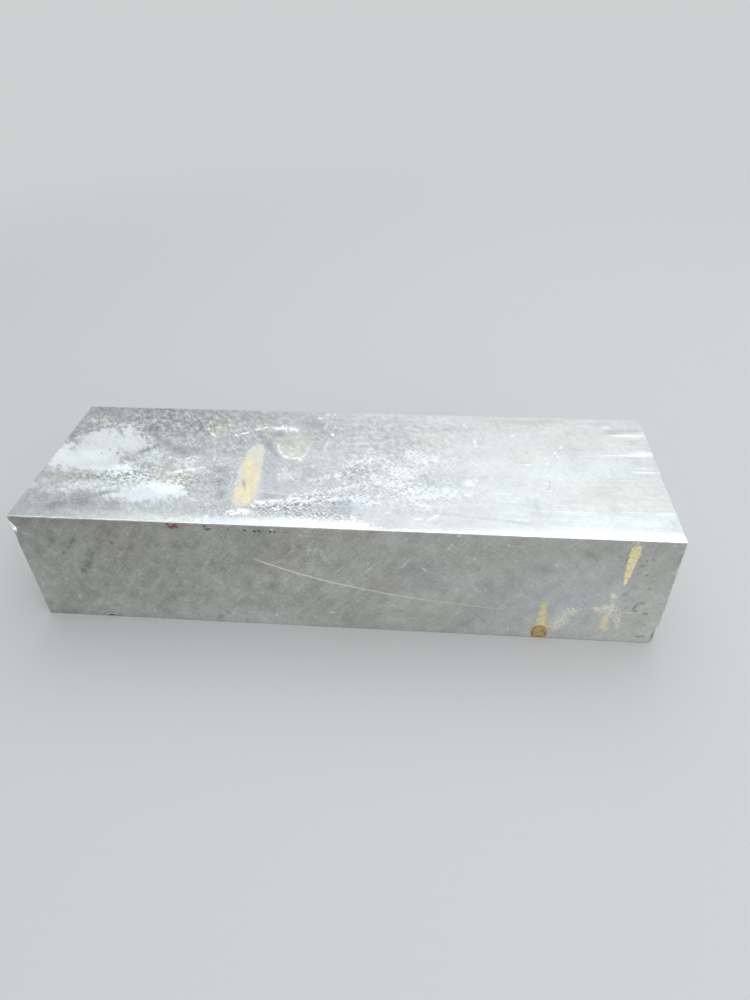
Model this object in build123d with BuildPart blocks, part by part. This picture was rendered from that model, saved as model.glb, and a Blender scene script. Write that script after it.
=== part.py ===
from build123d import *
import os
from math import hypot

# An offcut of 3 by 2 inch aluminium flat bar, lying on its wider face. Millimetres throughout.
# +X runs along the bar, -Y is the side that faces the viewer, +Z is up.
# The origin is the middle of the face that it lies on.

# Stock size
length = 236.5
width = 76.2
height = 50.8

# The bar's four long corners, as they left the mill
corner_radius = 0.35

# The sharp edges round both sawn ends, taken off with a file
saw_edge_break = 0.25

# Bruise on the front left upright edge: a knock near the top that tapers out downwards
knock_top = 1.8  # below the top face
knock_floor = 5.0  # below the top face, where it is deepest
knock_bottom = 17.0  # below the top face
knock_along_front = 2.0  # how far it reaches across the front face
knock_along_end = 0.8  # how far it reaches across the sawn end

# Lower end of the front right upright edge, crushed where the block was set down hard
crush_top = 9.0  # above the base, where it runs out
crush_full = 5.6  # above the base: it keeps its full depth below this
crush_along_front = 2.0
crush_along_end = 2.4

# Radius where the slopes of either bruise meet
bruise_root_radius = 0.3

# Nick in the lower front edge, with a rounded floor
nick_from_left = 26.3  # its middle, from the left end
nick_length = 5.2
nick_up_front = 1.2  # how far it reaches up the front face
nick_under = 0.7  # how far it reaches in under the base


def depth_of(across, along):
    """How deep a bruise goes, square to the slope that it leaves on an edge."""
    return across * along / hypot(across, along)


knock_depth = depth_of(knock_along_front, knock_along_end)
crush_depth = depth_of(crush_along_front, crush_along_end)
nick_depth = depth_of(nick_up_front, nick_under)

# Outlines of the two upright bruises: depth in from the edge, and height above the base.
# Each is drawn past the edge by its own depth, so that no skin is left over it.
knock_outline = [
    (-knock_depth, height - knock_top),
    (0, height - knock_top),
    (knock_depth, height - knock_floor),
    (0, height - knock_bottom),
    (-knock_depth, height - knock_bottom),
]
crush_outline = [
    (-crush_depth, crush_top),
    (0, crush_top),
    (crush_depth, crush_full),
    (crush_depth, -crush_depth),
    (-crush_depth, -crush_depth),
]

# Which end each is on (-1 left, 1 right), its reach across the front and the end, and its outline
upright_bruises = [
    (-1, knock_along_front, knock_along_end, knock_outline),
    (1, crush_along_front, crush_along_end, crush_outline),
]

nick_plane = Plane(
    origin=(nick_from_left - length / 2, -width / 2, 0),
    x_dir=(1, 0, 0),
    z_dir=(0, -nick_under, nick_up_front),
)

with BuildPart() as block:
    # The bar's section, run the length of the offcut
    with BuildSketch(Plane.YZ.offset(-length / 2)):
        with Locations((0, height / 2)):
            RectangleRounded(width, height, corner_radius)
    extrude(amount=length)

    # Both sawn ends
    ends = block.faces().filter_by(Axis.X)
    chamfer(ends.edges(), length=saw_edge_break)

    # The bruises on the two upright edges
    for end, along_front, along_end, outline in upright_bruises:
        bruise_plane = Plane(
            origin=(end * length / 2, -width / 2, 0),
            x_dir=(-end * along_end, along_front, 0),
            z_dir=(along_front, end * along_end, 0),
        )
        with BuildSketch(bruise_plane) as bruise:
            with BuildLine():
                Polyline(*outline, close=True)
            make_face()
            deepest = bruise.vertices().group_by(Axis.X)[-1].sort_by(Axis.Y)[-1]
            fillet(deepest, radius=bruise_root_radius)
        extrude(amount=along_front + along_end, both=True, mode=Mode.SUBTRACT)

    # The nick in the lower edge
    with BuildSketch(nick_plane):
        with BuildLine():
            ThreePointArc((-nick_length / 2, 0), (0, nick_depth), (nick_length / 2, 0))
            Polyline(
                (nick_length / 2, 0),
                (nick_length / 2, -nick_depth),
                (-nick_length / 2, -nick_depth),
                (-nick_length / 2, 0),
            )
        make_face()
    extrude(amount=nick_up_front + nick_under, both=True, mode=Mode.SUBTRACT)

block.part.label = "aluminium_block"

os.makedirs("parts", exist_ok=True)
export_step(block.part, "parts/aluminium_block.step")
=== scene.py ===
import math

import bpy
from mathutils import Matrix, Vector


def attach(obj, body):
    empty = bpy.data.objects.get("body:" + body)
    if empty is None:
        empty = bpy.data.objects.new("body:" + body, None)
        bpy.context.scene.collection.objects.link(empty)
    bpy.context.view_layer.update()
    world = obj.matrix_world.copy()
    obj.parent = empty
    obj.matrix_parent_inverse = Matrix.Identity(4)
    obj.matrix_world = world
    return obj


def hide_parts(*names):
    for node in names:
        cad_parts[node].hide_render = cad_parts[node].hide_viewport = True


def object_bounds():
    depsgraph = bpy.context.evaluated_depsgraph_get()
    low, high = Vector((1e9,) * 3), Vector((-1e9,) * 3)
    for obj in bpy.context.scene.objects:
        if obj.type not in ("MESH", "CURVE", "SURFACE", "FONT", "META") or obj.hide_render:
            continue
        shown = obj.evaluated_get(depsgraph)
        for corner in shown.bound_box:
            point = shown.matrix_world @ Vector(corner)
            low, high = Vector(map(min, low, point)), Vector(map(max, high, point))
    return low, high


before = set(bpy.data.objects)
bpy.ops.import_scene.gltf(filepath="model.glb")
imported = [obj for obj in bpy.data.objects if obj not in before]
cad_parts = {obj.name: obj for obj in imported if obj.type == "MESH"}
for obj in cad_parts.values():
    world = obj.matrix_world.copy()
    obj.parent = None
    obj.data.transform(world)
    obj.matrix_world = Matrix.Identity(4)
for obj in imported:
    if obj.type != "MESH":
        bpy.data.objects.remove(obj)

mm = 0.001
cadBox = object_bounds()
low, high = cadBox
size = high - low
middle = (low + high) / 2
bpy.ops.object.select_all(action="DESELECT")
print("block", [round(side / mm, 2) for side in size], "mm")


def linear(code):
    # sRGB hex to the linear values that Blender's sockets take
    parts = [int(code[i:i + 2], 16) / 255 for i in (1, 3, 5)]
    return [c / 12.92 if c <= 0.04045 else ((c + 0.055) / 1.055) ** 2.4 for c in parts] + [1]


def fill(tree, node, links):
    # each input gets a socket to link or a value to hold
    for name, value in links.items():
        if isinstance(value, bpy.types.NodeSocket):
            tree.links.new(value, node.inputs[name])
        else:
            node.inputs[name].default_value = value


def addNode(tree, kind, settings=None, links=None):
    # one node, its settings and its inputs
    node = tree.nodes.new(kind)
    for name, value in (settings or {}).items():
        setattr(node, name, value)
    fill(tree, node, links or {})
    return node


# Camera, at the photograph's place: a phone's wide lens, held a little off level
cameraSet = {
    "place": (0.03305, -0.21701, 0.20646),
    "turn": (51.614, 1.274, 4.895),  # degrees
    "lens": 25.0,  # on a 36 mm long side
}
cameraData = bpy.data.cameras.new("camera")
cameraData.lens = cameraSet["lens"]
cameraData.sensor_width = 36
cameraData.clip_start = 0.01
camera = bpy.data.objects.new("camera", cameraData)
camera.location = cameraSet["place"]
camera.rotation_euler = [math.radians(a) for a in cameraSet["turn"]]
bpy.context.scene.collection.objects.link(camera)
bpy.context.scene.camera = camera

# Lamps: a wide softbox overhead, behind and right of the block, and a smaller one that lights its front
lampSets = {
    "softbox": {"place": (0.22, 0.30, 1.2), "size": 1.8, "power": 15.0},
    "front": {"place": (0.6, -0.85, 0.65), "size": 0.8, "power": 4.0},
}
# World: an even studio, darker near the floor; the camera sees it as plain as the floor
worldSet = {
    "ceiling": "#D8DADC",
    "walls": "#A0A2A4",
    "ceilingFrom": 0.8,  # sine of the height at which the ceiling is fully bright
    "strength": 0.95,
}
floorSet = {
    "reach": 6.0,
    "colour": "#B8BABA",
    "seen": "#CED1D1",  # what the paper looks like when lit, carried on past the light
    "roughness": 0.75,
    "lightEnds": (0.30, 0.85),  # distances from the block between which the lit paper turns plain
}


def addLamp(name, lampSet):
    data = bpy.data.lights.new(name, "AREA")
    data.shape = "SQUARE"
    data.size = lampSet["size"]
    data.energy = lampSet["power"]
    lamp = bpy.data.objects.new(name, data)
    lamp.location = lampSet["place"]
    aim = Vector((0, 0, size.z / 2)) - lamp.location
    lamp.rotation_euler = aim.to_track_quat("-Z", "Y").to_euler()
    bpy.context.scene.collection.objects.link(lamp)


def seenRays(tree):
    # 1 for rays from the camera, and for those mirrored or passed on by a piece
    path = addNode(tree, "ShaderNodeLightPath")
    seen = path.outputs["Is Camera Ray"]
    for ray in ("Is Glossy Ray", "Is Transmission Ray"):
        seen = addNode(tree, "ShaderNodeMath", {"operation": "ADD", "use_clamp": True},
                       {0: seen, 1: path.outputs[ray]}).outputs[0]
    return seen


def makeWorld():
    world = bpy.data.worlds.new("studio")
    bpy.context.scene.world = world
    world.use_nodes = True
    tree = world.node_tree
    place = addNode(tree, "ShaderNodeTexCoord")
    axes = addNode(tree, "ShaderNodeSeparateXYZ", links={"Vector": place.outputs["Generated"]})
    up = addNode(tree, "ShaderNodeMapRange", {"interpolation_type": "SMOOTHSTEP"},
                 {"Value": axes.outputs["Z"], "From Min": 0.0, "From Max": worldSet["ceilingFrom"]})
    tone = addNode(tree, "ShaderNodeMix", {"data_type": "RGBA"},
                   {0: up.outputs["Result"], 6: linear(worldSet["walls"]), 7: linear(worldSet["ceiling"])})
    sky = tree.nodes["Background"]
    fill(tree, sky, {"Strength": worldSet["strength"], "Color": tone.outputs[2]})
    plain = addNode(tree, "ShaderNodeBackground", links={"Color": linear(floorSet["seen"])})
    path = addNode(tree, "ShaderNodeLightPath")
    both = addNode(tree, "ShaderNodeMixShader",
                   links={0: path.outputs["Is Camera Ray"], 1: sky.outputs[0], 2: plain.outputs[0]})
    fill(tree, tree.nodes["World Output"], {"Surface": both.outputs[0]})


def makeFloor():
    bpy.ops.mesh.primitive_plane_add(size=2 * floorSet["reach"], location=(0, 0, 0))
    floor = bpy.context.object
    floor.name = "floor"
    # Pale matt paper: soft and even, with no grain to draw the eye
    paper = bpy.data.materials.new("palePaper")
    paper.use_nodes = True
    tree = paper.node_tree
    lit = tree.nodes["Principled BSDF"]
    fill(tree, lit, {"Base Color": linear(floorSet["colour"]), "Roughness": floorSet["roughness"]})
    place = addNode(tree, "ShaderNodeTexCoord")
    away = addNode(tree, "ShaderNodeVectorMath", {"operation": "LENGTH"}, {0: place.outputs["Object"]})
    start, end = floorSet["lightEnds"]
    far = addNode(tree, "ShaderNodeMapRange", {"interpolation_type": "SMOOTHSTEP"},
                  {"Value": away.outputs["Value"], "From Min": start, "From Max": end})
    share = addNode(tree, "ShaderNodeMath", {"operation": "MULTIPLY"},
                    {0: far.outputs["Result"], 1: seenRays(tree)})
    plain = addNode(tree, "ShaderNodeEmission", links={"Color": linear(floorSet["seen"])})
    both = addNode(tree, "ShaderNodeMixShader",
                   links={0: share.outputs[0], 1: lit.outputs[0], 2: plain.outputs[0]})
    fill(tree, tree.nodes["Material Output"], {"Surface": both.outputs[0]})
    floor.data.materials.append(paper)


for lampName, lampSet in lampSets.items():
    addLamp(lampName, lampSet)
makeWorld()
makeFloor()
bpy.context.scene.view_settings.view_transform = "Standard"
print("camera, lamps and floor set")

# The block. Millimetre sizes repeat those of the solid that it dresses.
blockSet = {
    "longCorner": 0.35,  # radius of the four long corners, from the mill
    "endCorner": 0.25,  # filed off round the sawn ends
    "cornerSteps": 3,
    # cuts in two goes along the length, width and height, which leave squares of 1.6 mm
    "cells": ((4, 37), (1, 48), (1, 32)),
    "fineReach": 3,  # how far round a bruise the squares are cut finer
    "fineCuts": 3,
    "tornCuts": 2,  # more points for torn metal and for the arrises
    "root": 0.3,  # radius where the slopes of a bruise meet
    # Bruises on the upright edges, with heights above the base: where each runs out and where it is deepest
    "knock": {"end": -1, "top": 49.0, "full": 45.8, "foot": 33.8, "alongFront": 2.0, "alongEnd": 0.8},
    "crush": {"end": 1, "top": 9.0, "full": 5.6, "foot": None, "alongFront": 2.0, "alongEnd": 2.4},
    "nick": {"fromLeft": 26.3, "length": 5.2, "upFront": 1.2, "under": 0.7, "sides": 96},
    "wedgeLong": 9,  # the cutters, longer than any bruise reaches
    "drumLong": 8,
}
slack = 1e-7  # metres within which two places count as one
squareOn = 0.99  # how nearly a face points along an axis when it belongs to a side
# The scratch on the front: a curve that flattens out to the right, from the left end and down from the top
scratchSet = {
    "from": 87.5,
    "to": 179.0,
    "level": 40.7,  # the depth below the top face that the curve flattens out at
    "drop": 24.8,
    "start": 88.0,
    "run": 53.0,
    "width": 0.34,
    "depth": 0.05,
    "cuts": 11,
}
# Wear along the arrises, and dents that the photograph shows on them
wearSet = {
    "depth": 0.07,
    "grain": 2.2,
    "dentDepth": 0.14,
    "dentWide": 0.8,  # how far a dent reaches over the faces beside its edge
    "dents": (  # from the left end, which long edge, half length
        (59.5, "topFront", 0.7), (109.8, "topFront", 0.5), (131.5, "topFront", 0.8), (176.0, "topFront", 0.6),
        (21.0, "topFront", 0.5), (92.6, "topBack", 0.7), (172.5, "topBack", 0.6), (211.0, "topBack", 0.5),
        (58.0, "topBack", 0.5), (148.0, "lowFront", 0.6), (187.0, "lowFront", 0.5), (84.0, "lowFront", 0.5),
        (40.0, "lowBack", 0.8), (160.0, "lowBack", 0.6),
    ),
    "tornDepth": 0.16,
    "tornGrain": 0.7,
    "tornFade": 0.2,  # how far in from the sides torn metal takes its full roughness
}


def pick(kind, keep):
    # selects the edges or faces for which keep is true, and leaves the piece in edit mode
    bpy.ops.object.mode_set(mode="EDIT")
    bpy.ops.mesh.select_mode(type=kind)
    bpy.ops.mesh.select_all(action="DESELECT")
    bpy.ops.object.mode_set(mode="OBJECT")
    mesh = bpy.context.object.data
    for item in (mesh.edges if kind == "EDGE" else mesh.polygons):
        item.select = bool(keep(item))
    bpy.ops.object.mode_set(mode="EDIT")


def finishWith(piece, kind, settings):
    # one modifier, applied
    bpy.ops.object.mode_set(mode="OBJECT")
    modifier = piece.modifiers.new(kind.lower(), kind)
    for name, value in settings.items():
        setattr(modifier, name, value)
    bpy.context.view_layer.objects.active = piece
    bpy.ops.object.modifier_apply(modifier=modifier.name)


def addCutter(name, torn):
    cutter = bpy.context.object
    cutter.name = name
    cutter.data.materials.append(torn)
    return cutter


def cutAway(piece, cutter):
    finishWith(piece, "BOOLEAN", {"object": cutter, "operation": "DIFFERENCE", "solver": "EXACT",
                                  "material_mode": "TRANSFER"})
    bpy.data.objects.remove(cutter)


def roughBlock():
    # a cube at the bar's size, cut into squares, with every arris rounded off
    bpy.ops.mesh.primitive_cube_add(size=1, location=middle, scale=size)
    piece = bpy.context.object
    piece.name = "aluminium_block_detail"
    bpy.ops.object.transform_apply(location=True, rotation=False, scale=True)
    mesh = piece.data
    for axis, goes in enumerate(blockSet["cells"]):
        def along(edge):
            run = mesh.vertices[edge.vertices[0]].co - mesh.vertices[edge.vertices[1]].co
            return abs(run[axis]) > 0.9 * run.length
        for parts in goes:
            if parts > 1:
                pick("EDGE", along)
                bpy.ops.mesh.subdivide(number_cuts=parts - 1)
    bpy.ops.object.mode_set(mode="OBJECT")
    weights = mesh.attributes.new("bevel_weight_edge", "FLOAT", "EDGE")
    for edge in mesh.edges:
        a, b = [mesh.vertices[v].co for v in edge.vertices]
        sides = [axis for axis in range(3) if abs(a[axis] - b[axis]) < slack
                 and min(abs(a[axis] - low[axis]), abs(a[axis] - high[axis])) < slack]
        if len(sides) == 2:
            share = blockSet["endCorner"] / blockSet["longCorner"] if 0 in sides else 1
            weights.data[edge.index].value = share
    finishWith(piece, "BEVEL", {"limit_method": "WEIGHT", "width": blockSet["longCorner"] * mm,
                                "segments": blockSet["cornerSteps"]})
    return piece


def depthOf(across, along):
    # how deep a bruise goes, square to the slope that it leaves on an edge
    return across * along / math.hypot(across, along)


def uprightCutter(name, torn):
    # a wedge set against an upright front edge, from a cube that two slopes cut to shape
    bruise = blockSet[name]
    depth = depthOf(bruise["alongFront"], bruise["alongEnd"])
    inward = Vector((-bruise["end"] * bruise["alongEnd"], bruise["alongFront"], 0)).normalized()
    edge = Vector((low.x if bruise["end"] < 0 else high.x, low.y, low.z))
    foot = -depth if bruise["foot"] is None else bruise["foot"]
    tall = bruise["top"] - foot
    # with no foot the slope below the deepest place is upright, and the cube's own side makes it
    wide = (2 if bruise["foot"] is None else 3) * depth
    bpy.ops.mesh.primitive_cube_add(size=1, location=edge + Vector((0, 0, (foot + tall / 2) * mm)),
                                    rotation=(0, 0, math.atan2(inward.y, inward.x)),
                                    scale=(wide * mm, blockSet["wedgeLong"] * mm, tall * mm))
    cutter = addCutter(name + "Cutter", torn)
    bpy.ops.object.transform_apply(location=True, rotation=True, scale=True)
    bpy.ops.object.mode_set(mode="EDIT")
    slopes = [bruise["top"]] if bruise["foot"] is None else [bruise["top"], bruise["foot"]]
    for start in slopes:
        run = start - bruise["full"]
        away = inward * abs(run) + Vector((0, 0, math.copysign(depth, run)))
        bpy.ops.mesh.select_all(action="SELECT")
        bpy.ops.mesh.bisect(plane_co=edge + Vector((0, 0, start * mm)), plane_no=away.normalized(),
                            use_fill=True, clear_outer=True, threshold=slack)

    def isRidge(item):
        places = [cutter.data.vertices[v].co - edge for v in item.vertices]
        return all(abs(p.z - bruise["full"] * mm) < 1e-6 and p.dot(inward) > 0.5 * depth * mm
                   for p in places)
    pick("EDGE", isRidge)
    bpy.ops.mesh.bevel(offset=blockSet["root"] * mm, segments=3)
    bpy.ops.object.mode_set(mode="OBJECT")
    return cutter


def nickCutter(torn):
    # a drum laid against the lower front edge, on the slope that the nick leaves
    nick = blockSet["nick"]
    depth = depthOf(nick["upFront"], nick["under"])
    radius = ((nick["length"] / 2) ** 2 + depth ** 2) / (2 * depth)
    slope = math.atan2(nick["under"], nick["upFront"])
    inward = Vector((0, math.cos(slope), math.sin(slope)))
    edge = Vector((low.x + nick["fromLeft"] * mm, low.y, low.z))
    bpy.ops.mesh.primitive_cylinder_add(vertices=nick["sides"], radius=radius * mm,
                                        depth=blockSet["drumLong"] * mm, rotation=(slope, 0, 0),
                                        location=edge - inward * (radius - depth) * mm)
    return addCutter("nickCutter", torn)


def fromScratch(place):
    # millimetres from the scratch's line, or a large number off its face or past its ends
    across = (place.x - low.x) / mm
    if place.y > low.y + 1e-5 or not scratchSet["from"] < across < scratchSet["to"]:
        return 99
    rise = scratchSet["drop"] * math.exp((scratchSet["start"] - across) / scratchSet["run"])
    gap = (high.z - place.z) / mm - (scratchSet["level"] - rise)
    return abs(gap) / math.hypot(1, rise / scratchSet["run"])


def nearBruise(place):
    # true within a few millimetres of a bruise
    nick = blockSet["nick"]
    reach = blockSet["fineReach"]
    gap = (place - Vector((low.x + nick["fromLeft"] * mm, low.y, low.z))).length
    if gap < (nick["length"] / 2 + reach / 2) * mm:
        return True
    for name in ("knock", "crush"):
        bruise = blockSet[name]
        side = low.x if bruise["end"] < 0 else high.x
        if math.hypot(place.x - side, place.y - low.y) < reach * mm:
            if (bruise["foot"] or 0) - 1 < place.z / mm < bruise["top"] + 1:
                return True
    return False


def onSides(place, gap):
    # on how many of the bar's six sides a point lies
    return sum(min(abs(place[axis] - low[axis]), abs(place[axis] - high[axis])) < gap for axis in range(3))


def makeBlock(torn):
    piece = roughBlock()
    piece.data.materials.append(bpy.data.materials.new("plain"))
    piece.data.materials.append(torn)
    pick("FACE", lambda face: nearBruise(face.center))
    bpy.ops.mesh.subdivide(number_cuts=blockSet["fineCuts"])
    bpy.ops.object.mode_set(mode="OBJECT")
    for cutter in (uprightCutter("knock", torn), uprightCutter("crush", torn), nickCutter(torn)):
        cutAway(piece, cutter)
    print("bruises cut", len(piece.data.polygons), "faces")

    # more points where the metal is torn, worn and scratched
    mark = piece.data.materials.find("tornMetal")
    pick("FACE", lambda face: face.material_index == mark)
    bpy.ops.mesh.quads_convert_to_tris()
    bpy.ops.mesh.subdivide(number_cuts=blockSet["tornCuts"])
    pick("FACE", lambda face: face.material_index != mark and max(map(abs, face.normal)) < squareOn
         and not nearBruise(face.center))
    bpy.ops.mesh.subdivide(number_cuts=blockSet["tornCuts"])
    cell = size.x / math.prod(blockSet["cells"][0])
    pick("FACE", lambda face: fromScratch(face.center) < 0.75 * cell / mm)
    bpy.ops.mesh.subdivide(number_cuts=scratchSet["cuts"])
    bpy.ops.mesh.select_all(action="SELECT")
    bpy.ops.mesh.normals_make_consistent(inside=False)
    bpy.ops.object.mode_set(mode="OBJECT")
    print("points added", len(piece.data.polygons), "faces")
    return piece


def weigh(piece, name, howMuch):
    # a vertex group that says how strongly a modifier acts on each point
    group = piece.vertex_groups.new(name=name)
    for point in piece.data.vertices:
        share = howMuch(point.co)
        if share > 0.01:
            group.add([point.index], min(share, 1), "REPLACE")
    return name


def press(piece, name, howMuch, depth, grain=None):
    # pushes the surface in, evenly or by a cloudy pattern with this grain, in millimetres
    settings = {"vertex_group": weigh(piece, name, howMuch), "strength": -depth * mm, "mid_level": 0}
    if grain:
        clouds = bpy.data.textures.new(name, "CLOUDS")
        clouds.noise_scale = grain * mm
        clouds.noise_depth = 3
        clouds.contrast = 1.6
        settings["texture"] = clouds
        settings["texture_coords"] = "LOCAL"
    finishWith(piece, "DISPLACE", settings)


def inDent(place):
    # 1 at the middle of a dent in a long edge, 0 away from them
    edges = {"topFront": (low.y, high.z), "topBack": (high.y, high.z),
             "lowFront": (low.y, low.z), "lowBack": (high.y, low.z)}
    share = 0
    for across, edge, reach in wearSet["dents"]:
        run = (place.x - low.x) / mm - across
        if abs(run) < 2 * reach:
            y, z = edges[edge]
            wide = wearSet["dentWide"] * mm
            away = math.hypot(run / reach, (place.y - y) / wide, (place.z - z) / wide)
            share = max(share, 1 - away)
    return share


def wearBlock(piece, mark):
    arris = set()
    torn = set()
    for face in piece.data.polygons:
        if face.material_index == mark:
            torn.update(face.vertices)
        elif max(map(abs, face.normal)) < squareOn:
            arris.update(face.vertices)
    tornPlaces = {tuple(piece.data.vertices[v].co) for v in torn}
    arrisPlaces = {tuple(piece.data.vertices[v].co) for v in arris}

    def onTorn(place):
        # full strength a little way in from the sides that the bruise breaks out of
        if tuple(place) not in tornPlaces:
            return 0
        inside = min(min(place[axis] - low[axis], high[axis] - place[axis]) for axis in range(3))
        return inside / (wearSet["tornFade"] * mm)

    def onArris(place):
        return tuple(place) in arrisPlaces and onSides(place, 1e-6) == 0

    def inScratch(place):
        return 1 - (fromScratch(place) / (scratchSet["width"] / 2)) ** 2 if fromScratch(place) < 1 else 0

    press(piece, "torn", onTorn, wearSet["tornDepth"], wearSet["tornGrain"])
    press(piece, "worn", onArris, wearSet["depth"], wearSet["grain"])
    press(piece, "dented", inDent, wearSet["dentDepth"])
    press(piece, "scratched", inScratch, scratchSet["depth"])
    print("torn, worn, dented and scratched")


# The bar's sides: which axis each is square to and which way it faces, the map's axes across and up, pixels a
# millimetre across and up on the map that holds its colours, and its corner there in pixels
sideParts = ("axis", "sign", "across", "up", "scale", "corner")
sideRows = {
    "top": (2, 1, (0, 1), (1, 1), (4.22, 4.22), (13, 690)),
    "front": (1, -1, (0, 1), (2, 1), (4.22, 4.22), (13, 464)),
    "back": (1, 1, (0, -1), (2, 1), (4.22, 2.3), (13, 336)),
    "bottom": (2, -1, (0, 1), (1, -1), (4.22, 2.3), (13, 150)),
    "leftEnd": (0, -1, (1, -1), (2, 1), (2.6, 2.6), (13, 8)),
    "rightEnd": (0, 1, (1, 1), (2, 1), (2.6, 2.6), (230, 8)),
}
sideSets = {name: dict(zip(sideParts, row)) for name, row in sideRows.items()}
mapSize = 1024


def sideOf(normal):
    axis = max(range(3), key=lambda a: abs(normal[a]))
    for name, side in sideSets.items():
        if side["axis"] == axis and side["sign"] * normal[axis] > 0:
            return name


def layOut(piece):
    # each face is seen on the map square on, from its own side of the bar
    layer = piece.data.uv_layers.new(name="OFBake")
    mesh = piece.data
    for face in mesh.polygons:
        side = sideSets[sideOf(face.normal)]
        for loop in face.loop_indices:
            place = mesh.vertices[mesh.loops[loop].vertex_index].co
            spot = []
            for way, scale, corner in zip(("across", "up"), side["scale"], side["corner"]):
                axis, sign = side[way]
                start = low[axis] if sign > 0 else high[axis]
                spot.append((corner + scale * sign * (place[axis] - start) / mm) / mapSize)
            layer.data[loop].uv = spot


def dress(piece, finishes):
    # one finish for each side of the bar, one for its arrises and one for its bruises
    mark = piece.data.materials.find("tornMetal")
    kinds = []
    for face in piece.data.polygons:
        if face.material_index == mark:
            kinds.append("torn")
        elif onSides(face.center, 2.5e-5) or fromScratch(face.center) < 2:
            kinds.append(sideOf(face.normal))
        else:
            kinds.append("arris")
    piece.data.materials.clear()
    names = list(finishes)
    for name in names:
        piece.data.materials.append(finishes[name])
    for face, kind in zip(piece.data.polygons, kinds):
        face.material_index = names.index(kind)
        face.use_smooth = kind == "arris"
    print({name: kinds.count(name) for name in names})


# Finishes. Each is painted in millimetres across and down from the upper left corner of its side.
# Tones are in levels of 255, as the eye reads them, and setMetal turns them to the metal's own linear colour.

def sideRuler(tree, name):
    side = sideSets[name]
    place = addNode(tree, "ShaderNodeTexCoord")
    axes = addNode(tree, "ShaderNodeSeparateXYZ", links={0: place.outputs["Object"]})
    spots = []
    for way, turned in (("across", 1), ("up", -1)):
        axis, sign = side[way][0], side[way][1] * turned
        start = -low[axis] if sign > 0 else high[axis]
        run = addNode(tree, "ShaderNodeMath", {"operation": "MULTIPLY_ADD"},
                      {0: axes.outputs[axis], 1: sign / mm, 2: start / mm})
        spots.append(run.outputs[0])
    return addNode(tree, "ShaderNodeCombineXYZ", links=dict(enumerate(spots))).outputs[0]


def laidOn(tree, ruler, place, sizes, turn=0):
    # the ruler as seen from a place on the side, turned and drawn out
    return addNode(tree, "ShaderNodeMapping", {"vector_type": "TEXTURE"},
                   {0: ruler, "Location": (*place, 0), "Rotation": (0, 0, math.radians(turn)),
                    "Scale": (*sizes, 1)}).outputs[0]


def clouds(tree, ruler, long, wide, turn, detail, seed, rough=0.6):
    # cloudy noise with patches of this size, drawn out along one direction to make strokes
    spot = laidOn(tree, ruler, (31.7 * seed, 17.3 * seed), (long, wide), turn)
    return addNode(tree, "ShaderNodeTexNoise", {"noise_dimensions": "2D"},
                   {"Vector": spot, "Scale": 1, "Detail": detail, "Roughness": rough})


def grainsOf(tree, ruler, finishSet):
    # a finish's noises, in the order that its dictionary names them
    return [clouds(tree, ruler, *values).outputs["Fac"] for values in finishSet["grains"].values()]


def wander(tree, ruler, reach, grain, seed):
    # shifts the ruler to and fro, so that no outline drawn with it is a clean curve
    noise = clouds(tree, ruler, grain, grain, 0, 2, seed)
    away = addNode(tree, "ShaderNodeVectorMath", {"operation": "SUBTRACT"},
                   {0: noise.outputs["Color"], 1: (0.5, 0.5, 0.5)})
    return addNode(tree, "ShaderNodeVectorMath", {"operation": "MULTIPLY_ADD"},
                   {0: away.outputs[0], 1: (reach, reach, 0), 2: ruler}).outputs[0]


def smudges(tree, ruler, ovals, total=0):
    # adds up soft ovals: place across and down, half length, half width, turn, and strength at the middle
    for across, down, long, wide, *turn, strength in ovals:
        spot = laidOn(tree, ruler, (across, down), (long, wide), *turn)
        oval = addNode(tree, "ShaderNodeTexGradient", {"gradient_type": "SPHERICAL"}, {0: spot})
        total = addNode(tree, "ShaderNodeMath", {"operation": "MULTIPLY_ADD"},
                        {0: oval.outputs["Fac"], 1: strength, 2: total}).outputs[0]
    return total


def strokes(tree, ruler, lines, total=0):
    # adds up straight marks: start, end, width and strength
    ovals = []
    for x1, y1, x2, y2, wide, strength in lines:
        turn = math.degrees(math.atan2(y2 - y1, x2 - x1))
        long = math.hypot(x2 - x1, y2 - y1)
        ovals.append(((x1 + x2) / 2, (y1 + y2) / 2, long * 0.6, wide, turn, 1.6 * strength))
    return smudges(tree, ruler, ovals, total)


def vary(tree, value, grain, amount, middle=0.5):
    # moves a value up and down with a grain
    centred = addNode(tree, "ShaderNodeMath", {"operation": "SUBTRACT"}, {0: grain, 1: middle})
    return addNode(tree, "ShaderNodeMath", {"operation": "MULTIPLY_ADD"},
                   {0: centred.outputs[0], 1: amount, 2: value}).outputs[0]


def varyAll(tree, tone, pairs):
    for grain, amount in pairs:
        tone = vary(tree, tone, grain, amount)
    return tone


def either(tree, one, other):
    # where one mask or the other shows
    return addNode(tree, "ShaderNodeMath", {"operation": "MAXIMUM", "use_clamp": True},
                   {0: one, 1: other}).outputs[0]


def step(tree, value, start, end):
    # a soft step up from start to end
    return addNode(tree, "ShaderNodeMapRange", {"interpolation_type": "SMOOTHSTEP"},
                   {"Value": value, "From Min": start, "From Max": end}).outputs[0]


def ragged(tree, ruler, ovals, grain, bite, soft):
    # patches, each a place, a half length, a half width and a turn, with an outline that a grain has bitten
    # into; a deep bite breaks them up into flakes
    widest = 0
    for across, down, long, wide, *turn in ovals:
        oval = smudges(tree, ruler, ((across, down, 2 * long, 2 * wide, *turn, 1),))
        widest = addNode(tree, "ShaderNodeMath", {"operation": "MAXIMUM"}, {0: oval, 1: widest}).outputs[0]
    depth = addNode(tree, "ShaderNodeMapRange", {},
                    {"Value": widest, "From Min": 0, "From Max": 0.3, "To Max": bite}).outputs[0]
    return step(tree, vary(tree, widest, grain, depth), 0.5 - soft, 0.5 + soft)


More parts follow.
